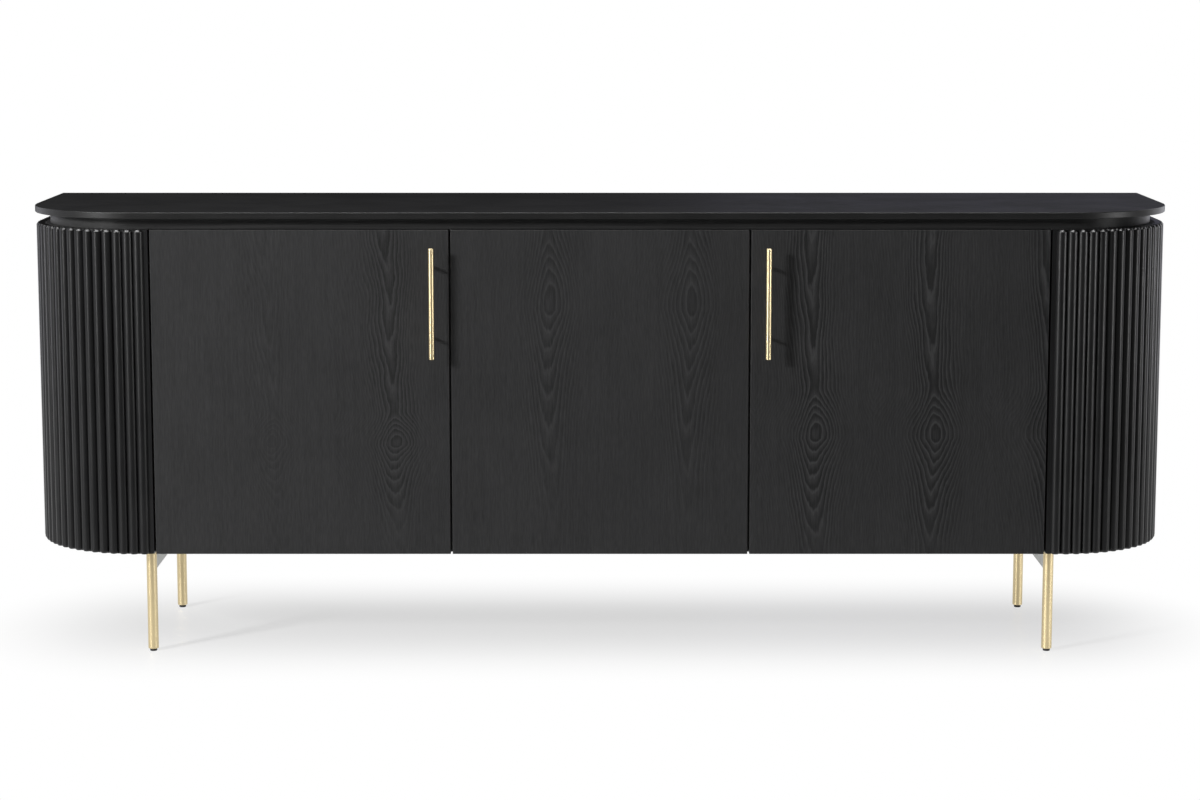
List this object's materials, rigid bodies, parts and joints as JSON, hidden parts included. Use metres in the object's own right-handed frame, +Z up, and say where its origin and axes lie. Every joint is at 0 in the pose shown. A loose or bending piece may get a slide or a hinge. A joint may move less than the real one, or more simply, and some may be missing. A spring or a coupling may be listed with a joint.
{
  "type": "sideboard",
  "caption": "Long black sideboard with flat doors between reeded rounded ends, a thin floating top, slim brass bar handles and rod legs; the doors swing open on shelves.",
  "frame": {"origin": "on the floor, at the middle of the length and of the depth over the handles", "axes": "+X to the right along the length, -Y to the front, +Z up"},
  "size_m": [2.1, 0.477, 0.816],
  "materials": {
    "stained_veneer": "black stained open-pore oak veneer, matt to satin lacquer",
    "carcass_board": "black stained board with a plain matt surface",
    "back_board": "thin painted fibreboard, matt",
    "brass": "brushed, pale gold",
    "rail_paint": "pale grey satin paint",
    "hinge_steel": "nickel plated",
    "black_plastic": "moulded",
    "plunger_plastic": "moulded",
    "bumper_rubber": "soft, matt"
  },
  "bodies": {
    "carcass": {"top_slab": "stained_veneer", "neck_board": "stained_veneer", "reeded_end_left": "stained_veneer", "reeded_end_right": "stained_veneer", "carcass_top": "carcass_board", "carcass_bottom": "carcass_board", "outer_partition_left": "carcass_board", "outer_partition_right": "carcass_board", "inner_partition_left": "carcass_board", "inner_partition_right": "carcass_board", "front_batten_left": "carcass_board", "front_batten_right": "carcass_board", "end_rib_left": "carcass_board", "end_rib_right": "carcass_board", "shelf_left": "carcass_board", "shelf_middle": "carcass_board", "shelf_right": "carcass_board", "back_panel": "back_board", "front_leg_left": "brass", "front_leg_right": "brass", "back_leg_left": "brass", "back_leg_right": "brass", "frame_rail_left": "rail_paint", "frame_rail_right": "rail_paint", "hinge_arms_left": "hinge_steel", "hinge_arms_middle": "hinge_steel", "hinge_arms_right": "hinge_steel", "hinge_plates": "hinge_steel", "shelf_pins": "hinge_steel", "leg_glides": "black_plastic", "magnetic_catches": "black_plastic", "push_latch_housing": "black_plastic", "door_bumpers": "bumper_rubber"},
    "left_door": {"door_panel_left": "stained_veneer", "hinge_cups_left": "hinge_steel", "hinge_pins_left": "hinge_steel", "strike_plate_left": "hinge_steel", "handle_bar_left": "brass", "handle_posts_left": "brass"},
    "middle_door": {"door_panel_middle": "stained_veneer", "hinge_cups_middle": "hinge_steel", "hinge_pins_middle": "hinge_steel", "strike_plate_middle": "hinge_steel"},
    "right_door": {"door_panel_right": "stained_veneer", "hinge_cups_right": "hinge_steel", "hinge_pins_right": "hinge_steel", "strike_plate_right": "hinge_steel", "handle_bar_right": "brass", "handle_posts_right": "brass"},
    "push_plunger": {"latch_plunger": "plunger_plastic"}
  },
  "joints": [
    {"name": "left_door_hinge", "type": "hinge", "parent": "carcass", "child": "left_door", "pos_m": [-0.801, -0.196, 0.4875], "axis": [0, 0, -1], "range_deg": [0, 95]},
    {"name": "middle_door_hinge", "type": "hinge", "parent": "carcass", "child": "middle_door", "pos_m": [0.2605, -0.196, 0.4875], "axis": [0, 0, 1], "range_deg": [0, 95]},
    {"name": "right_door_hinge", "type": "hinge", "parent": "carcass", "child": "right_door", "pos_m": [0.801, -0.196, 0.4875], "axis": [0, 0, 1], "range_deg": [0, 95]},
    {"name": "push_plunger_slide", "type": "slide", "parent": "carcass", "child": "push_plunger", "axis": [0, -1, 0], "range_m": [0, 0.014]}
  ],
  "couplings": [
    {"joint": "push_plunger_slide", "follows": "middle_door_hinge", "m_per_rad": 0.0084}
  ]
}
